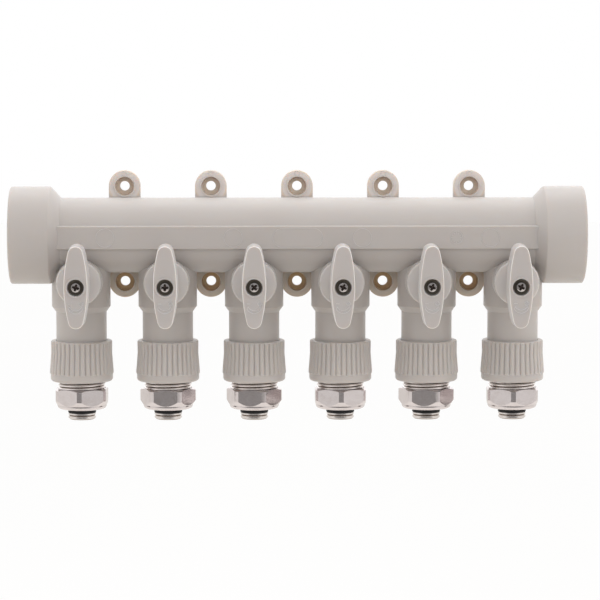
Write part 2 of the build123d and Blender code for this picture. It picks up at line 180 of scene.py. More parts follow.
class MaterialGraph(Graph):
    """A material built on one Principled shader."""

    def __init__(self, name: str) -> None:
        """Start a material with its shader and its object coordinates."""
        self.material = bpy.data.materials.new(name)
        self.material.use_nodes = True
        super().__init__(self.material.node_tree)
        self.shader = self.tree.nodes["Principled BSDF"]
        self.place = self.add("ShaderNodeTexCoord").outputs["Object"]

    def noise(self, scale: float, detail: float = 3.0, roughness: float = 0.5) -> bpy.types.NodeSocket:
        """Noise on object coordinates.

        Args:
            scale: Cells a metre.
            detail: Octaves.
            roughness: Share that each octave keeps.

        Returns:
            The noise value's socket, from 0 to 1.
        """
        inputs = {"Vector": self.place, "Scale": scale, "Detail": detail, "Roughness": roughness}
        return self.add("ShaderNodeTexNoise", inputs).outputs["Fac"]

    def mix(self, share: Value, first: Value, second: Value) -> bpy.types.NodeSocket:
        """Mix two colours.

        Args:
            share: How much of the second shows.
            first: The colour at share 0.
            second: The colour at share 1.

        Returns:
            The mixed colour's socket.
        """
        node = self.add("ShaderNodeMix", data_type="RGBA")
        self.feed(node.inputs["Factor"], share)
        for key, value in (("A", first), ("B", second)):
            socket = [s for s in node.inputs if s.name == key and s.type == "RGBA"][0]
            self.feed(socket, value if isinstance(value, bpy.types.NodeSocket) else (*value, 1.0))
        return [s for s in node.outputs if s.type == "RGBA"][0]

    def bump(
        self, height: Value, depth: float, strength: float, below: Optional[bpy.types.NodeSocket] = None
    ) -> bpy.types.NodeSocket:
        """Bump from a height.

        Args:
            height: The height, from 0 to 1.
            depth: Its real depth in metres.
            strength: Share of the bump that shows.
            below: A normal to build on.

        Returns:
            The normal's socket.
        """
        node = self.add("ShaderNodeBump", {"Height": height, "Distance": depth, "Strength": strength})
        if below is not None:
            self.feed(node.inputs["Normal"], below)
        return node.outputs["Normal"]

    def soft_edges(self, radius: float) -> bpy.types.NodeSocket:
        """Normal that rounds sharp edges by a small radius, in metres."""
        return self.add("ShaderNodeBevel", {"Radius": radius}, samples=4).outputs["Normal"]


@dataclass(frozen=True)
class MouldedPlastic:
    """Satin moulded polypropylene, a little translucent, with faint flow marks and sink."""

    name: str
    colour: Colour
    # colour of the painted warm glow that stands for light through the thin lugs
    warm: Colour
    lug_pitch: float
    lug_reach: float
    lug_front: float
    tube_radius: float
    roughness: float = 0.44
    mottle: float = 0.035
    translucency: float = 0.25
    rim_glow: float = 0.3
    # A painted highlight on rounded edges; the next field is its colour.
    painted_edge_share: float = 0.0
    painted_edge_colour: Colour = (0.80, 0.77, 0.75)
    # The lugs are painted paler as painted backlight through thin plastic, the lower ones yellower; their
    # holes and rims get a painted warm glow.
    upper_lug_painted_light: Colour = (0.62, 0.58, 0.555)
    lower_lug_painted_light: Colour = (0.56, 0.50, 0.43)
    upper_painted_glow: float = 0.40
    lower_painted_glow: float = 0.92
    rim_painted_glow: float = 0.40
    hole_radius: float = 5.0 * MM
    rim_radius: float = 8.0 * MM
    lug_radius: float = 8.9 * MM
    half_row: float = 2.5

    def painted_lug_glow(self, graph: MaterialGraph, colour: bpy.types.NodeSocket) -> bpy.types.NodeSocket:
        """Painted backlight glow of the thin lugs: painted paler than the rest, with a painted warm glow in
        their holes and along their rims.

        Args:
            graph: The material under construction.
            colour: The plastic's colour elsewhere.

        Returns:
            The colour's socket.
        """
        x, y, z = graph.parts(graph.place)
        height = graph.math("ABSOLUTE", z)
        across = graph.math("PINGPONG", x, self.lug_pitch / 2)
        radius = graph.distance(across, graph.math("SUBTRACT", height, self.lug_reach))
        front = self.lug_front - 0.5 * MM
        behind = graph.remap(y, front, front + 0.3 * MM, 0.0, 1.0)
        clear = graph.remap(height, self.tube_radius - 0.4 * MM, self.tube_radius + 0.8 * MM, 0.0, 1.0)
        near = graph.remap(radius, self.lug_radius, self.lug_radius + 0.7 * MM, 1.0, 0.0)
        last = self.lug_pitch * self.half_row
        row = graph.remap(graph.math("ABSOLUTE", x), last - 1.0 * MM, last, 1.0, 0.0)
        region = graph.product(graph.product(behind, clear), graph.product(near, row))
        lower = graph.remap(z, 1.0 * MM, -1.0 * MM, 0.0, 1.0)
        # Painted backlight: the lugs painted paler, the lower ones yellower.
        colour = graph.mix(region, colour, graph.mix(lower, self.upper_lug_painted_light, self.lower_lug_painted_light))
        # Painted warm glow in the holes and along the rims.
        strength = graph.remap(lower, 0.0, 1.0, self.upper_painted_glow, self.lower_painted_glow)
        hole = graph.remap(radius, self.hole_radius, self.hole_radius + 0.5 * MM, 1.0, 0.0)
        rim = graph.remap(radius, self.rim_radius, self.lug_radius, 0.0, self.rim_painted_glow)
        glow = graph.math("ADD", graph.product(hole, strength), rim)
        return graph.mix(graph.product(glow, region), colour, self.warm)

    def painted_edge_highlights(self, graph: MaterialGraph, colour: bpy.types.NodeSocket) -> bpy.types.NodeSocket:
        """Painted highlight on the rounds between a face that looks to the front and the sides: they are
        painted paler.

        Args:
            graph: The material under construction.
            colour: The plastic's colour elsewhere.

        Returns:
            The colour's socket.
        """
        # Painted highlight where the normal turns partway from the front towards the sides.
        slant = graph.math("ABSOLUTE", graph.parts(graph.add("ShaderNodeNewGeometry").outputs["Normal"])[1])
        rising = graph.remap(slant, 0.22, 0.40, 0.0, self.painted_edge_share)
        falling = graph.remap(slant, 0.86, 0.96, 1.0, 0.0)
        return graph.mix(graph.product(rising, falling), colour, self.painted_edge_colour)

    def material(self, with_painted_lug_glow: bool = False) -> bpy.types.Material:
        """Build the material.

        Args:
            with_painted_lug_glow: Whether the piece has the painted glow on its lugs.

        Returns:
            The material.
        """
        graph = MaterialGraph(self.name)
        flow = graph.noise(38.0, 4.0, 0.55)
        darker = tuple(c * (1 - self.mottle) for c in self.colour)
        lighter = tuple(min(1.0, c * (1 + self.mottle)) for c in self.colour)
        colour = graph.mix(flow, darker, lighter)
        speck = graph.remap(graph.noise(900.0, 2.0), 0.70, 0.80, 0.0, 0.10)
        colour = graph.mix(speck, colour, tuple(c * 0.72 for c in self.colour))
        # Painted backlight glow on the lugs.
        if with_painted_lug_glow:
            colour = self.painted_lug_glow(graph, colour)
        # Painted highlights on rounded edges.
        if self.painted_edge_share:
            colour = self.painted_edge_highlights(graph, colour)
        graph.feed(graph.shader.inputs["Base Color"], colour)
        gloss = graph.remap(graph.noise(120.0, 3.0), 0.3, 0.7, self.roughness - 0.05, self.roughness + 0.05)
        graph.feed(graph.shader.inputs["Roughness"], gloss)
        shader = graph.shader.inputs
        shader["Subsurface Weight"].default_value = self.translucency
        shader["Subsurface Radius"].default_value = (1.0, 0.60, 0.36)
        shader["Subsurface Scale"].default_value = 0.006
        shader["IOR"].default_value = 1.5
        shader["Sheen Weight"].default_value = self.rim_glow
        shader["Sheen Roughness"].default_value = 0.3
        normal = graph.soft_edges(0.14 * MM)
        normal = graph.bump(graph.noise(55.0, 2.0), 0.5 * MM, 0.18, normal)
        normal = graph.bump(graph.noise(2600.0, 2.0), 0.03 * MM, 0.35, normal)
        graph.feed(shader["Normal"], normal)
        return graph.material


@dataclass(frozen=True)
class Metal:
    """A plated or turned metal, with fine grain and faint stains.

    Painted shade can darken it deeper than a place along Y, and in grooves about the outlets' axes by their
    radius.
    """

    name: str
    colour: Colour
    stain: Colour
    roughness: float = 0.2
    stain_share: float = 0.25
    grain: float = 0.25
    # Painted shade: darker deeper than a place along Y, and in grooves by radius, in the shade colour further
    # down.
    edge: float = 0.18 * MM
    painted_shade_from: float = 0.0
    painted_shade_depth: float = 0.0
    groove: tuple[float, ...] = ()
    row: tuple[float, ...] = ()
    painted_shade: Colour = (0.065, 0.050, 0.045)
    painted_groove_strength: float = 0.85

    def painted_groove_shade(self, graph: MaterialGraph) -> bpy.types.NodeSocket:
        """Share of painted shade in the grooves about the outlets' axes, by the radius.

        Args:
            graph: The material under construction.

        Returns:
            The share's socket.
        """
        pitch, axis_y = self.row
        x, y, _ = graph.parts(graph.place)
        across = graph.math("SUBTRACT", pitch / 2, graph.math("PINGPONG", x, pitch / 2))
        unshaded_radius, shaded_radius = self.groove
        radius = graph.distance(across, graph.math("SUBTRACT", y, axis_y))
        return graph.remap(radius, unshaded_radius, shaded_radius, 0.0, self.painted_groove_strength)

    def material(self) -> bpy.types.Material:
        """Build the material."""
        graph = MaterialGraph(self.name)
        cloud = graph.remap(graph.noise(260.0, 4.0, 0.6), 0.45, 0.75, 0.0, self.stain_share)
        colour = graph.mix(cloud, self.colour, self.stain)
        # Painted shade in a recess, darker the deeper along Y.
        if self.painted_shade_depth:
            inward = graph.parts(graph.place)[1]
            deep = graph.remap(inward, self.painted_shade_from, self.painted_shade_from + self.painted_shade_depth, 0.0, 1.0)
            colour = graph.mix(deep, colour, self.painted_shade)
        # Painted shade in the grooves about the outlets' axes.
        if self.groove:
            colour = graph.mix(self.painted_groove_shade(graph), colour, self.painted_shade)
        graph.feed(graph.shader.inputs["Base Color"], colour)
        low, high = self.roughness - 0.05, self.roughness + 0.09
        gloss = graph.remap(graph.noise(1500.0, 3.0), 0.3, 0.7, low, high)
        graph.feed(graph.shader.inputs["Roughness"], gloss)
        graph.shader.inputs["Metallic"].default_value = 1.0
        edges = graph.soft_edges(self.edge) if self.edge else None
        normal = graph.bump(graph.noise(3800.0, 3.0), 0.02 * MM, self.grain, edges)
        graph.feed(graph.shader.inputs["Normal"], normal)
        return graph.material


@dataclass(frozen=True)
class Rubber:
    """Black seal rubber with a slight oily sheen."""

    name: str
    colour: Colour
    roughness: float = 0.55
    gloss: float = 0.25

    def material(self) -> bpy.types.Material:
        """Build the material."""
        graph = MaterialGraph(self.name)
        dust = graph.remap(graph.noise(1200.0, 3.0), 0.55, 0.75, 0.0, 0.25)
        dusty = tuple(c + 0.03 for c in self.colour)
        graph.feed(graph.shader.inputs["Base Color"], graph.mix(dust, self.colour, dusty))
        low, high = self.roughness - 0.08, self.roughness + 0.08
        gloss = graph.remap(graph.noise(700.0), 0.3, 0.7, low, high)
        graph.feed(graph.shader.inputs["Roughness"], gloss)
        graph.shader.inputs["Specular IOR Level"].default_value = self.gloss
        graph.feed(graph.shader.inputs["Normal"], graph.bump(graph.noise(4000.0), 0.02 * MM, 0.3))
        return graph.material


class GeometryGraph(Graph):
    """A Geometry Nodes tree that works on line meshes, with named inputs, and makes plain meshes."""

    KINDS = {float: "NodeSocketFloat", int: "NodeSocketInt", tuple: "NodeSocketVector"}
    SHARP = math.radians(38)
    MERGE = 0.001 * MM

    def __init__(self, name: str, inputs: dict[str, Union[float, int, tuple]]) -> None:
        """Start a tree with its inputs and their usual values."""
        tree = bpy.data.node_groups.new(name, "GeometryNodeTree")
        super().__init__(tree)
        tree.interface.new_socket("Geometry", in_out="INPUT", socket_type="NodeSocketGeometry")
        tree.interface.new_socket("Geometry", in_out="OUTPUT", socket_type="NodeSocketGeometry")
        self.names: dict[str, str] = {}
        for label, value in inputs.items():
            socket = tree.interface.new_socket(label, in_out="INPUT", socket_type=self.KINDS[type(value)])
            socket.default_value = value
            self.names[label] = socket.identifier
        self.inputs = self.add("NodeGroupInput").outputs
        drawn = self.add("GeometryNodeMeshToCurve", {"Mesh": self.inputs["Geometry"]})
        self.lines = drawn.outputs["Curve"]

    def turned(self, steps: bpy.types.NodeSocket, radius: float) -> bpy.types.NodeSocket:
        """Sweep the drawn section about Z, with its poles closed.

        Args:
            steps: How many steps a full turn has.
            radius: Radius of the circle that carries the section.

        Returns:
            The swept mesh's socket.
        """
        circle = {"Resolution": steps, "Radius": radius}
        path = self.add("GeometryNodeCurvePrimitiveCircle", circle).outputs["Curve"]
        sweep = {"Curve": path, "Profile Curve": self.lines}
        swept = self.add("GeometryNodeCurveToMesh", sweep).outputs["Mesh"]
        merge = {"Geometry": swept, "Distance": self.MERGE}
        return self.add("GeometryNodeMergeByDistance", merge).outputs["Geometry"]

    def moved_to(self, swept: bpy.types.NodeSocket, x: Value, y: Value, z: Value) -> bpy.types.NodeSocket:
        """Give each point of a swept shape a new place.

        Args:
            swept: The shape.
            x: The new X.
            y: The new Y.
            z: The new Z.

        Returns:
            The formed shape's socket.
        """
        target = self.add("ShaderNodeCombineXYZ", {"X": x, "Y": y, "Z": z}).outputs["Vector"]
        formed = {"Geometry": swept, "Position": target}
        return self.add("GeometryNodeSetPosition", formed).outputs["Geometry"]

    def place(self, geometry: bpy.types.NodeSocket) -> bpy.types.NodeSocket:
        """Turn and move a shape by the inputs Tilt and Place."""
        moved = {"Geometry": geometry, "Rotation": self.inputs["Tilt"], "Translation": self.inputs["Place"]}
        return self.add("GeometryNodeTransform", moved).outputs["Geometry"]

    def close(self, geometry: bpy.types.NodeSocket, material: bpy.types.Material) -> None:
        """End the tree in plain mesh with its material.

        Args:
            geometry: What the tree makes.
            material: The finish of all of it.
        """
        real = self.add("GeometryNodeRealizeInstances", {"Geometry": geometry}).outputs["Geometry"]
        smooth = self.add("GeometryNodeSetShadeSmooth", {"Geometry": real}).outputs["Geometry"]
        finish = {"Geometry": smooth, "Material": material}
        done = self.add("GeometryNodeSetMaterial", finish).outputs["Geometry"]
        self.add("NodeGroupOutput", {"Geometry": done})

    def mesh(
        self, name: str, lines: list["Line"], values: dict[str, Union[float, int, tuple]]
    ) -> bpy.types.Mesh:
        """Run the tree once.

        Args:
            name: Name of the mesh.
            lines: The lines that it works on.
            values: The inputs that differ from the usual ones.

        Returns:
            The evaluated mesh, with no modifier left.
        """
        source = bpy.data.meshes.new(name)
        points, edges = [], []
        for line in lines:
            first, count = len(points), len(line.points)
            points += line.points
            edges += [(first + i, first + i + 1) for i in range(count - 1)]
            if line.closed:
                edges.append((first + count - 1, first))
        source.from_pydata(points, edges, [])
        carrier = bpy.data.objects.new(name, source)
        bpy.context.scene.collection.objects.link(carrier)
        modifier = carrier.modifiers.new(name, "NODES")
        modifier.node_group = self.tree
        for label, value in values.items():
            modifier[self.names[label]] = value
        view = bpy.context.evaluated_depsgraph_get()
        mesh = bpy.data.meshes.new_from_object(carrier.evaluated_get(view), depsgraph=view)
        mesh.set_sharp_from_angle(angle=self.SHARP)
        bpy.data.objects.remove(carrier)
        return mesh


@dataclass
class Line:
    """A drawn line of points, in metres."""

    points: list[tuple[float, float, float]]
    closed: bool = True

    @classmethod
    def on_front(cls, flat: list[tuple[float, float]], y: float, closed: bool = True) -> "Line":
        """Line on a face square to Y, from its (x, z) points."""
        return cls([(x, y, z) for x, z in flat], closed)


def arc(x: float, z: float, radius: float, start: float = 0.0, end: float = 360.0, steps: int = 40) -> list:
    """Points of an arc, without its last point when it is a full circle.

    Args:
        x: Centre.
        z: Centre.
        radius: Radius.
        start: First angle in degrees, 0 along X.
        end: Last angle in degrees.
        steps: How many chords.

    Returns:
        Its (x, z) points.
    """
    count = steps if end - start == 360.0 else steps + 1
    turns = [math.radians(start + (end - start) * i / steps) for i in range(count)]
    return [(x + radius * math.cos(turn), z + radius * math.sin(turn)) for turn in turns]


def section(points: list[tuple[float, float]], reference: float, finest: float) -> Line:
    """Closed section of a ring, from (radius, drop) points in mm.

    Args:
        points: Its corners, down the outside and back up the inside.
        reference: Radius of the sweep's circle, in metres.
        finest: Longest step along its outside, in mm.

    Returns:
        The section as the ring's tree takes it.
    """
    fine = []
    for (r0, d0), (r1, d1) in zip(points, points[1:] + points[:1]):
        steps = max(1, math.ceil((d1 - d0) / finest))
        fine += [(r0 + (r1 - r0) * i / steps, d0 + (d1 - d0) * i / steps) for i in range(steps)]
    return Line([(r * MM - reference, d * MM, 0.0) for r, d in fine])


class Beads(GeometryGraph):
    """Fine raised beads along lines, such as the marks that a mould leaves."""

    def __init__(self, name: str, material: bpy.types.Material) -> None:
        """Build the tree for one finish."""
        super().__init__(name, {"Bead": 0.15 * MM, "Sides": 8})
        round_bead = {"Resolution": self.inputs["Sides"], "Radius": self.inputs["Bead"]}
        profile = self.add("GeometryNodeCurvePrimitiveCircle", round_bead).outputs["Curve"]
        inputs = {"Curve": self.lines, "Profile Curve": profile, "Fill Caps": True}
        self.close(self.add("GeometryNodeCurveToMesh", inputs).outputs["Mesh"], material)


class RuledRing(GeometryGraph):
    """A section swept about Z, with ribs or a screw thread pressed into its outside by a rule."""

    REFERENCE = 10 * MM

    def __init__(self, name: str, material: bpy.types.Material) -> None:
        """Build the tree for one finish."""
        usual = {
            "Steps": 96,
            "Ribs": 1.0,
            "Turns a metre": 0.0,
            "Depth": 0.5 * MM,
            "Sharpness": 1.0,
            "Top": 0.0,
            "Bottom": 0.0,
            "Fade": 0.5 * MM,
            "Least radius": 0.0,
            "Tilt": (0.0, 0.0, 0.0),
            "Place": (0.0, 0.0, 0.0),
        }
        super().__init__(name, usual)
        given = self.inputs
        swept = self.turned(given["Steps"], self.REFERENCE)
        position = self.add("GeometryNodeInputPosition").outputs["Position"]
        x, y, z = self.parts(position)
        radius = self.distance(x, y)
        turn = self.math("DIVIDE", self.math("ARCTAN2", y, x), 2 * math.pi)
        along = self.product(z, given["Turns a metre"])
        phase = self.math("ADD", self.product(turn, given["Ribs"]), along)
        ridge = self.product(self.math("PINGPONG", phase, 0.5), 2.0)
        groove = self.math("POWER", self.math("SUBTRACT", 1.0, ridge), given["Sharpness"])
        below_top = self.remap(z, given["Top"], self.math("SUBTRACT", given["Top"], given["Fade"]), 0.0, 1.0)
        above_end = self.remap(z, given["Bottom"], self.math("ADD", given["Bottom"], given["Fade"]), 0.0, 1.0)
        outside = self.math("GREATER_THAN", radius, given["Least radius"])
        offset = self.product(below_top, above_end, outside, groove, given["Depth"])
        scale = self.math("SUBTRACT", 1.0, self.math("DIVIDE", offset, radius))
        formed = self.moved_to(swept, self.product(x, scale), self.product(y, scale), z)
        self.close(self.place(formed), material)


class CrossScrew(GeometryGraph):
    """A turned screw about Z with a tapering cross recess pressed into its head."""

    TIP_SHARE = 0.55

    def __init__(self, name: str, material: bpy.types.Material) -> None:
        """Build the tree for one finish."""
        usual = {
            "Steps": 128,
            "Reach": 1.95 * MM,
            "Half width": 0.78 * MM,
            "Taper": 0.14,
            "Depth": 1.0 * MM,
            "Slope": 0.22 * MM,
            "Head floor": 0.0,
            "Tilt": (0.0, 0.0, 0.0),
            "Place": (0.0, 0.0, 0.0),
        }
        super().__init__(name, usual)
        given = self.inputs
        swept = self.turned(given["Steps"], RuledRing.REFERENCE)
        position = self.add("GeometryNodeInputPosition").outputs["Position"]
        x, y, z = self.parts(position)
        wide, tall = self.math("ABSOLUTE", x), self.math("ABSOLUTE", y)
        near, far = self.math("MINIMUM", wide, tall), self.math("MAXIMUM", wide, tall)
        arm = self.math("ADD", near, self.product(far, given["Taper"]))
        width, reach, slope = given["Half width"], given["Reach"], given["Slope"]
        slot = self.remap(arm, self.math("SUBTRACT", width, slope), width, 1.0, 0.0)
        end = self.remap(far, self.math("SUBTRACT", reach, slope), reach, 1.0, 0.0)
        deeper = self.remap(far, 0.0, reach, 1.0, self.TIP_SHARE)
        head = self.math("GREATER_THAN", z, given["Head floor"])
        share = self.product(self.product(slot, end), self.product(deeper, head))
        sunk = self.math("SUBTRACT", z, self.product(share, given["Depth"]))
        self.close(self.place(self.moved_to(swept, x, y, sunk)), material)


def new_piece(name: str, mesh: bpy.types.Mesh, body: str) -> bpy.types.Object:
    """Put a finished mesh into the scene on its body.

    Args:
        name: Name of the piece.
        mesh: Its mesh, in the row frame.
        body: The body that it rides on.

    Returns:
        The new object.
    """
    piece = bpy.data.objects.new(name, mesh)
    bpy.context.scene.collection.objects.link(piece)
    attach(piece, body)
    LOG.info("%s: %d faces on %s", name, len(mesh.polygons), body)
    return piece


def dress(node: str, material: bpy.types.Material) -> None:
    """Give a CAD node its finish. It keeps the slot that the record gives it."""
    piece = frame["nodes"][node]
    if not piece.material_slots:
        piece.data.materials.append(material)
    for entry in piece.material_slots:
        entry.material = material


@dataclass
class Layout:
    """Where things are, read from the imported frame, in metres."""

    outlets: list[float] = field(default_factory=list)
    axis_y: float = 0.0
    stem_z: float = 0.0
    pitch: float = 0.0

    @classmethod
    def from_frame(cls) -> "Layout":
        """Read the outlets and axes from the joints."""
        joints = sorted(frame["joints"], key=lambda joint: joint["pos_m"][0])
        xs = [joint["pos_m"][0] for joint in joints]
        return cls(xs, joints[0]["pos_m"][1], joints[0]["pos_m"][2], xs[1] - xs[0])


@dataclass
class Finishes:
    """Every material of the object, made once."""

    layout: Layout
    made: dict[Slot, bpy.types.Material] = field(default_factory=dict)
    plastic_with_painted_lug_glow: Optional[bpy.types.Material] = None
    washer: Optional[bpy.types.Material] = None
    thread: Optional[bpy.types.Material] = None
    nipple: Optional[bpy.types.Material] = None
    bonnet: Optional[bpy.types.Material] = None
    marks: Optional[bpy.types.Material] = None
    # Radii at which the painted shade in the thread's and the nipple's grooves starts and is full.
    thread_groove: tuple = (12.75 * MM, 12.2 * MM)
    nipple_groove: tuple = (7.45 * MM, 7.15 * MM)
    # Painted shade in the screw's cross recess: how far below the head's top it starts, and over how much it
    # fades in.
    unshaded_recess: float = 0.28 * MM
    recess_shade_fade: float = 0.22 * MM

    def make(self) -> None:
        """Build all the materials."""
        # The plastic's warm colour is a painted backlight glow on the lugs.
        plastic = MouldedPlastic(
            name="moulded_plastic",
            colour=(0.455, 0.422, 0.402),
            warm=(0.52, 0.35, 0.18),
            lug_pitch=self.layout.pitch,
            lug_reach=LUG_REACH,
            lug_front=self.layout.axis_y + LUG_SETBACK,
            tube_radius=TUBE_RADIUS,
        )
        # The handles get painted highlights on their rounded edges.
        handle = replace(plastic, name="handle_plastic", colour=(0.432, 0.403, 0.39), roughness=0.36,
                         mottle=0.02, painted_edge_share=0.75)
        white = replace(plastic, name="white_seat", colour=(0.82, 0.82, 0.80), roughness=0.3)
        plate = Metal("nickel_plate", (0.71, 0.66, 0.665), (0.52, 0.45, 0.41), roughness=0.17)
        brass = Metal("turned_brass", (0.78, 0.60, 0.32), (0.50, 0.36, 0.17), roughness=0.26)
        chrome = Metal("polished_chrome", (0.80, 0.81, 0.83), (0.66, 0.66, 0.68), roughness=0.08, grain=0.05)
        # The thread is painted paler than the nut's plating as a painted highlight, and its grooves get
        # painted shade.
        thread = Metal("plated_thread", (0.86, 0.82, 0.81), plate.stain, roughness=0.16, grain=0.1, edge=0.0,
                       groove=self.thread_groove, row=(self.layout.pitch, self.layout.axis_y),
                       painted_shade=(0.13, 0.08, 0.04))
        # The nipple's grooves get the same painted shade.
        nipple = replace(thread, name="plated_nipple", colour=(0.76, 0.72, 0.71), groove=self.nipple_groove)
        # The screw's cross recess is darkened with depth: painted shade.
        recess = self.layout.axis_y - SCREW_TOP * MM + self.unshaded_recess
        steel = Metal("screw_steel", (0.58, 0.545, 0.54), (0.34, 0.31, 0.30), roughness=0.22, edge=0.0,
                      painted_shade_from=recess, painted_shade_depth=self.recess_shade_fade)
        washer = Metal("washer_steel", (0.135, 0.120, 0.100), (0.08, 0.07, 0.06), roughness=0.42)
        self.thread, self.nipple, self.washer = thread.material(), nipple.material(), washer.material()
        self.made = {
            Slot.BODY: plastic.material(),
            Slot.HANDLE: handle.material(),
            Slot.PLATE: plate.material(),
            Slot.BRASS: brass.material(),
            Slot.CHROME: chrome.material(),
            Slot.STEEL: steel.material(),
            Slot.WHITE: white.material(),
            Slot.RUBBER: Rubber("seal_rubber", (0.012, 0.012, 0.013)).material(),
        }
        # The moulding with the painted backlight glow on its lugs.
        self.plastic_with_painted_lug_glow = plastic.material(with_painted_lug_glow=True)
        # The bonnets are painted paler than the body plastic: painted light.
        self.bonnet = replace(plastic, name="bonnet_plastic", colour=(0.585, 0.55, 0.535)).material()
        # The raised marks are painted paler: a painted highlight along them.
        self.marks = replace(plastic, name="raised_marks", colour=(0.60, 0.57, 0.55)).material()

    def __getitem__(self, slot: Slot) -> bpy.types.Material:
        """The material of one slot."""
        return self.made[slot]


@dataclass(frozen=True)
class Lamp:
    """One soft area lamp: its place, the point that it faces, its size in metres and its power in watts."""

    name: str
    place: tuple
    target: tuple
    size: tuple
    power: float
    colour: Colour
    mirrored: bool = True

    def hang(self) -> None:
        """Put the lamp into the scene, shown by glossy surfaces only where it is mirrored."""
        data = bpy.data.lights.new(self.name, "AREA")
        data.shape = "RECTANGLE"
        data.size, data.size_y = self.size
        data.energy = self.power
        data.color = self.colour
        lamp = bpy.data.objects.new(self.name, data)
        bpy.context.scene.collection.objects.link(lamp)
        lamp.visible_glossy = self.mirrored
        lamp.location = self.place
        facing = Vector(self.target) - Vector(self.place)
        lamp.rotation_euler = facing.to_track_quat("-Z", "Y").to_euler()


@dataclass
class Studio:
    """Camera, lights, floor and background."""

    image_width: float = 600.0
    focal_pixels: float = 2807.7
    distance: float = 1.5587
    pitch_deg: float = 5.634
    yaw_deg: float = 0.949
    aim_column: float = 297.25
    aim_row: float = 234.8
    floor_z: float = -0.42
    floor_front: float = -1.0
    floor_reach: float = 6.0
    camera_white: float = 0.9
    front_to_side: Ramp = Ramp(-0.93, -0.48, 0.44, 1.14)
    side_to_back: Ramp = Ramp(0.05, 0.75, 0.0, 0.36)
    low_to_high: Ramp = Ramp(-0.9, 0.6, 0.30, 1.02)
    warm_to_white: Ramp = Ramp(-0.9, -0.05, 0.58, 0.99)
    lamps: tuple[Lamp, ...] = (
        Lamp("top_softbox", (0.0, 0.45, 1.0), (0, -0.03, 0), (1.8, 0.7), 4.5, (1, 0.99, 0.975)),
        Lamp("front_fill", (0.0, -1.7, 0.45), (0, -0.03, -0.02), (1.8, 1.1), 7.5, (1, 0.985, 0.965), False),
        Lamp("right_key", (1.5, -1.0, 0.45), (0, -0.03, -0.02), (0.9, 0.9), 6.5, (1, 0.99, 0.985), False),
        Lamp("left_fill", (-1.6, -0.6, 0.3), (0, -0.03, -0.02), (0.9, 0.9), 3.0, (1, 0.99, 0.985), False),
    )

    def camera(self, layout: Layout) -> bpy.types.Object:
        """Place the camera at the photograph's viewing angle."""
        pitch, yaw = math.radians(self.pitch_deg), math.radians(self.yaw_deg)
        forward = Vector((math.sin(yaw) * math.cos(pitch), math.cos(yaw) * math.cos(pitch), -math.sin(pitch)))
        right = Vector((math.cos(yaw), -math.sin(yaw), 0))
        up = Vector((math.sin(yaw) * math.sin(pitch), math.cos(yaw) * math.sin(pitch), math.cos(pitch)))
        scale = self.distance / self.focal_pixels
        across = (self.aim_column - self.image_width / 2) * scale
        above = -(self.aim_row - self.image_width / 2) * scale
        target = Vector((0, layout.axis_y, 0))
        data = bpy.data.cameras.new("camera")
        data.sensor_width = 36.0
        data.lens = self.focal_pixels / self.image_width * data.sensor_width
        camera = bpy.data.objects.new("camera", data)
        bpy.context.scene.collection.objects.link(camera)
        turn = Matrix((right, up, -forward)).transposed().to_4x4()
        place = target - self.distance * forward - across * right - above * up
        camera.matrix_world = Matrix.Translation(place) @ turn
        bpy.context.scene.camera = camera
        return camera

    def world(self) -> None:
        """White to the camera, softly graded light on the object, darker behind the camera."""
        world = bpy.data.worlds.new("studio")
        bpy.context.scene.world = world
        world.use_nodes = True
        graph = Graph(world.node_tree)
        output = world.node_tree.nodes["World Output"]
        shade = world.node_tree.nodes["Background"]
        direction = graph.add("ShaderNodeTexCoord").outputs["Generated"]
        _, y, z = graph.parts(direction)
        turned = graph.remap(y, *self.front_to_side, curve="SMOOTHSTEP")
        behind = graph.remap(y, *self.side_to_back)
        level = graph.product(graph.math("ADD", turned, behind), graph.remap(z, *self.low_to_high))
        graph.feed(shade.inputs["Strength"], level)
        warm = graph.remap(z, *self.warm_to_white)
        tint = graph.add("ShaderNodeCombineColor", {0: 1.0, 1: graph.math("SQRT", warm), 2: warm}).outputs[0]
        graph.feed(shade.inputs["Color"], tint)
        white = graph.add("ShaderNodeBackground", {"Color": (1.0, 1.0, 1.0, 1.0), "Strength": 1.0})
        seen = graph.add("ShaderNodeLightPath").outputs["Is Camera Ray"]
        mixed = graph.add("ShaderNodeMixShader", {0: seen, 1: shade.outputs[0], 2: white.outputs[0]})
        graph.feed(output.inputs["Surface"], mixed.outputs[0])

    def floor(self) -> None:
        """Plain pale floor below the object, plain white to the camera where no shadow falls."""
        build = bmesh.new()
        bmesh.ops.create_grid(build, x_segments=8, y_segments=8, size=self.floor_reach)
        mesh = bpy.data.meshes.new("floor")
        build.to_mesh(mesh)
        build.free()
        for vertex in mesh.vertices:
            vertex.co.z = self.floor_z
            vertex.co.y = max(vertex.co.y, self.floor_front)
        floor = bpy.data.objects.new("floor", mesh)
        bpy.context.scene.collection.objects.link(floor)
        graph = MaterialGraph("pale_floor")
        tone = graph.remap(graph.noise(3.0), 0.3, 0.7, 0.0, 1.0)
        colour = graph.mix(tone, (0.69, 0.67, 0.635), (0.72, 0.70, 0.665))
        graph.feed(graph.shader.inputs["Base Color"], colour)
        graph.shader.inputs["Roughness"].default_value = 0.8
        glow = graph.add("ShaderNodeEmission", {"Color": (1.0, 1.0, 1.0, 1.0), "Strength": 1.0})
        seen = graph.add("ShaderNodeLightPath").outputs["Is Camera Ray"]
        share = graph.product(seen, self.camera_white)
        mixed = graph.add("ShaderNodeMixShader", {0: share, 1: graph.shader.outputs[0], 2: glow.outputs[0]})
        graph.feed(graph.tree.nodes["Material Output"].inputs["Surface"], mixed.outputs[0])
        mesh.materials.append(graph.material)

    def build(self, layout: Layout) -> None:
        """Set up the whole studio."""
        scene = bpy.context.scene
        scene.view_settings.view_transform = "Standard"
        self.camera(layout)
        self.world()
        self.floor()
        for lamp in self.lamps:
            lamp.hang()


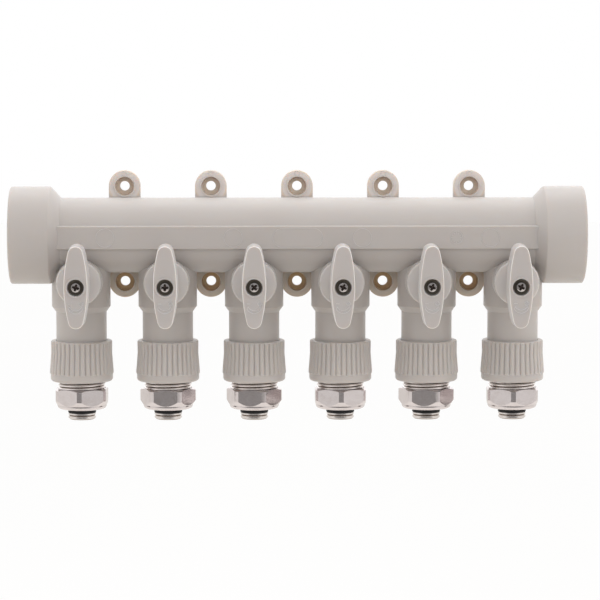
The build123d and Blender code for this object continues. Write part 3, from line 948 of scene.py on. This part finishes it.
@dataclass
class BodyMoulding:
    """The grey moulding with the small marks that its mould leaves."""

    layout: Layout
    finishes: Finishes
    strip_depth: float = 21.5 * MM
    bead: float = 0.13 * MM
    pin_mark: float = 10.0 * MM
    pin_marks_x: tuple = (-105.6 * MM, -35.4 * MM, 35.4 * MM, 105.6 * MM)
    oval: tuple = (27.4 * MM, 10.4 * MM)
    dial_x: float = 87.0 * MM
    dial: float = 7.0 * MM
    dial_ticks: int = 12
    lug_pin_mark: float = 2.7 * MM
    lug_pin_height: float = 33.4 * MM

    def lug_lines(self) -> list[Line]:
        """Ring that a small ejector pin leaves on each upper lug."""
        outlets = self.layout.outlets
        middles = [(left + right) / 2 for left, right in zip(outlets, outlets[1:])]
        face_y = self.layout.axis_y + LUG_SETBACK
        flats = [arc(x, self.lug_pin_height, self.lug_pin_mark / 2, steps=24) for x in middles]
        return [Line.on_front(flat, face_y) for flat in flats]

    def strip_lines(self) -> list[Line]:
        """Ejector pin rings, the bare oval and the tick dial on the label strip."""
        face_y = self.layout.axis_y - self.strip_depth
        flats = [arc(x, 0.0, self.pin_mark / 2) for x in self.pin_marks_x]
        width, height = self.oval
        straight = (width - height) / 2
        right_end = arc(straight, 0.0, height / 2, -90, 90, 16)
        left_end = arc(-straight, 0.0, height / 2, 90, 270, 16)
        flats.append(right_end + left_end)
        flats.append(arc(self.dial_x, 0.0, self.dial / 2))
        lines = [Line.on_front(flat, face_y) for flat in flats]
        inner, outer = self.dial * 0.30, self.dial * 0.42
        for tick in range(self.dial_ticks):
            turn = 2 * math.pi * tick / self.dial_ticks
            across, up = math.cos(turn), math.sin(turn)
            ends = [(self.dial_x + reach * across, reach * up) for reach in (inner, outer)]
            lines.append(Line.on_front(ends, face_y, False))
        return lines

    def marks(self) -> None:
        """The mould's marks as one piece."""
        beads = Beads("mould_beads", self.finishes.marks)
        mesh = beads.mesh("mould_marks", self.strip_lines() + self.lug_lines(), {"Bead": self.bead})
        new_piece("mould_marks", mesh, "manifold")

    def build(self) -> None:
        """Dress the moulding and add its marks."""
        dress("manifold_body", self.finishes.plastic_with_painted_lug_glow)
        self.marks()


@dataclass
class Valve:
    """One quarter-turn valve: bonnet, handle with its marks, screw, stem and ball."""

    index: int
    layout: Layout
    finishes: Finishes
    beads: Beads
    screws: CrossScrew
    washers: RuledRing
    face_depth: float = 51.0 * MM
    bead: float = 0.17 * MM
    mark_drop: float = 8.7 * MM
    mark_reach: float = 2.9 * MM
    minus: float = 1.9 * MM
    plus: float = 2.3 * MM
    plus_arm: float = 0.95 * MM
    arc_centre_drop: float = 9.6 * MM
    arc_radius: float = 4.3 * MM
    arc_half_angle: float = 62.0
    arc_width: float = 1.1 * MM
    screw_turns: tuple = (15.0, 0.0, 45.0, 25.0, 20.0, 25.0)
    head_top: float = SCREW_TOP
    head_seat: float = 49.25
    head_radius: float = 2.5
    head_dome: float = 0.35
    head_steps: int = 30
    shank_radius: float = 1.95
    shank_end: float = 38.75
    shank_point: float = 0.5
    whole_step: float = 20.0
    washer_outline: tuple = (
        (4.05, -49.2), (4.15, -49.1), (4.15, -48.5), (4.05, -48.4), (2.1, -48.4), (2.1, -48.85),
        (2.9, -48.8), (3.5, -48.95),
    )

    def mark_lines(self) -> list[Line]:
        """Minus, outlined plus and crescent on the lower wing."""
        x, z = self.layout.outlets[self.index], self.layout.stem_z
        y = self.layout.axis_y - self.face_depth
        level = z - self.mark_drop
        left, right = x - self.mark_reach, x + self.mark_reach
        dash = [(left - self.minus / 2, level), (left + self.minus / 2, level)]
        far, near = self.plus / 2, self.plus_arm / 2
        corner = [(far, near), (near, near), (near, far)]
        cross = []
        for quarter in range(4):
            turn = math.radians(90 * quarter)
            cosine, sine = round(math.cos(turn)), round(math.sin(turn))
            cross += [(right + cosine * a - sine * b, level + sine * a + cosine * b) for a, b in corner]
        middle = z - self.arc_centre_drop
        ends = (270 - self.arc_half_angle, 270 + self.arc_half_angle)
        outer = arc(x, middle, self.arc_radius, *ends, 24)
        inner = arc(x, middle + self.arc_width, self.arc_radius - self.arc_width / 2, *ends, 24)
        crescent = outer + inner[::-1]
        return [Line.on_front(dash, y, closed=False), Line.on_front(cross, y), Line.on_front(crescent, y)]

    def screw(self, number: int) -> None:
        """Domed screw with its cross recess, and the dished washer under its head."""
        shares = [step / self.head_steps for step in range(self.head_steps + 1)]
        dome = [(self.head_radius * share, self.head_dome * share ** 2 - self.head_top) for share in shares]
        shank = [
            (self.head_radius, -self.head_seat), (self.shank_radius, -self.head_seat),
            (self.shank_radius, -self.shank_end - self.shank_point),
            (self.shank_radius - self.shank_point, -self.shank_end), (0.0, -self.shank_end),
        ]
        place = (self.layout.outlets[self.index], self.layout.axis_y, self.layout.stem_z)
        values = {
            "Head floor": (self.head_top - self.head_dome - 0.01) * MM,
            "Tilt": (math.pi / 2, math.radians(self.screw_turns[self.index]), 0.0),
            "Place": place,
        }
        shape = section(dome + shank, RuledRing.REFERENCE, self.whole_step)
        name = f"cross_screw_{number}"
        screw = new_piece(name, self.screws.mesh(name, [shape], values), f"valve_{number}")
        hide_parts(f"handle_screw_{number}")
        shape = section(list(self.washer_outline), RuledRing.REFERENCE, self.whole_step)
        values = {"Depth": 0.0, "Tilt": (math.pi / 2, 0.0, 0.0), "Place": place}
        name = f"dished_washer_{number}"
        washer = new_piece(name, self.washers.mesh(name, [shape], values), f"valve_{number}")
        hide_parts(f"handle_screw_{number}")

    def build(self) -> None:
        """Dress the valve's pieces and mark its handle."""
        number = self.index + 1
        self.screw(number)
        dress(f"bonnet_{number}", self.finishes.bonnet)
        dress(f"handle_{number}", self.finishes[Slot.HANDLE])
        dress(f"stem_{number}", self.finishes[Slot.BRASS])
        dress(f"ball_{number}", self.finishes[Slot.CHROME])
        mesh = self.beads.mesh(f"handle_marks_{number}", self.mark_lines(), {"Bead": self.bead})
        new_piece(f"handle_marks_{number}", mesh, f"valve_{number}")


@dataclass
class Outlet:
    """One outlet below its valve: ribbed collar, threaded insert, nut and nipple. Its points are in mm."""

    index: int
    layout: Layout
    finishes: Finishes
    plastic_rings: RuledRing
    metal_rings: RuledRing
    ribs: float = 36.0
    rib_depth: float = 0.9 * MM
    rib_sharpness: float = 3.0
    rib_steps: int = 14
    rib_top: float = -58.9 * MM
    rib_bottom: float = -76.9 * MM
    pitch: float = 1.814 * MM
    thread_depth: float = 1.16 * MM
    thread_sharpness: float = 2.2
    thread_steps: int = 18
    thread_top: float = -81.6 * MM
    thread_bottom: float = -90.2 * MM
    collar_outside: tuple = (
        (14.45, 58.5), (16.2, 58.5), (16.75, 58.75), (17.0, 59.3), (16.9, 65.5), (17.7, 75.6),
        (17.7, 76.75), (17.6, 76.95), (17.3, 77.05), (17.3, 79.6), (17.18, 80.2), (16.83, 80.73),
        (16.3, 81.08), (15.7, 81.2),
    )
    collar_inside: tuple = (
        (9.55, 81.2), (9.55, 77.6), (11.35, 77.6), (11.35, 75.05), (13.45, 75.05), (13.45, 72.05),
        (14.05, 72.05), (14.05, 59.1),
    )
    insert_outside: tuple = (
        (13.4, 72.6), (13.4, 75.0), (11.3, 75.0), (11.3, 77.55), (9.5, 77.55), (9.5, 81.5), (12.7, 81.5),
        (13.2, 82.0), (13.2, 89.4), (12.6, 90.0),
    )
    insert_bore: tuple = ((6.5, 90.0), (6.5, 72.6))

    def collar(self, number: int) -> None:
        """Ribbed collar with rounded ribs between narrow grooves."""
        corners = list(self.collar_outside + self.collar_inside)
        shape = section(corners, RuledRing.REFERENCE, 0.6)
        values = {
            "Steps": int(self.ribs) * self.rib_steps,
            "Ribs": self.ribs,
            "Depth": self.rib_depth,
            "Sharpness": self.rib_sharpness,
            "Top": self.rib_top,
            "Bottom": self.rib_bottom,
            "Fade": 0.7 * MM,
            "Least radius": 15.0 * MM,
            "Place": (self.layout.outlets[self.index], self.layout.axis_y, 0.0),
        }
        mesh = self.plastic_rings.mesh(f"ribbed_collar_{number}", [shape], values)
        piece = new_piece(f"ribbed_collar_{number}", mesh, "manifold")
        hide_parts(f"outlet_collar_{number}")

    def insert(self, number: int) -> None:
        """Plated insert with its right-handed male thread."""
        corners = list(self.insert_outside + self.insert_bore)
        shape = section(corners, RuledRing.REFERENCE, self.pitch / MM / self.thread_steps)
        values = {
            "Steps": 96,
            "Ribs": -1.0,
            "Turns a metre": 1.0 / self.pitch,
            "Depth": self.thread_depth,
            "Sharpness": self.thread_sharpness,
            "Top": self.thread_top,
            "Bottom": self.thread_bottom,
            "Fade": 0.2 * MM,
            "Least radius": 12.0 * MM,
            "Place": (self.layout.outlets[self.index], self.layout.axis_y, 0.0),
        }
        mesh = self.metal_rings.mesh(f"threaded_insert_{number}", [shape], values)
        piece = new_piece(f"threaded_insert_{number}", mesh, "manifold")
        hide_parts(f"outlet_insert_{number}")

    def build(self) -> None:
        """Make the collar and the insert, and dress the nut and the nipple."""
        number = self.index + 1
        self.collar(number)
        self.insert(number)
        dress(f"hex_nut_{number}", self.finishes[Slot.PLATE])
        dress(f"pipe_nipple_{number}", self.finishes.nipple)


def main() -> None:
    """Build the object's looks and the studio."""
    layout = Layout.from_frame()
    finishes = Finishes(layout)
    finishes.make()
    Studio().build(layout)
    BodyMoulding(layout, finishes).build()
    handle_beads = Beads("handle_beads", finishes.marks)
    plastic_rings = RuledRing("plastic_ring", finishes[Slot.BODY])
    metal_rings = RuledRing("metal_ring", finishes.thread)
    screws = CrossScrew("cross_screw", finishes[Slot.STEEL])
    washers = RuledRing("washer_ring", finishes.washer)
    for index in range(len(layout.outlets)):
        Valve(index, layout, finishes, handle_beads, screws, washers).build()
        Outlet(index, layout, finishes, plastic_rings, metal_rings).build()
    dress("ball_seats", finishes[Slot.WHITE])
    dress("stem_seals", finishes[Slot.RUBBER])
    dress("nipple_seals", finishes[Slot.RUBBER])
    dress("split_rings", finishes[Slot.BRASS])


if __name__ == "__main__":
    main()
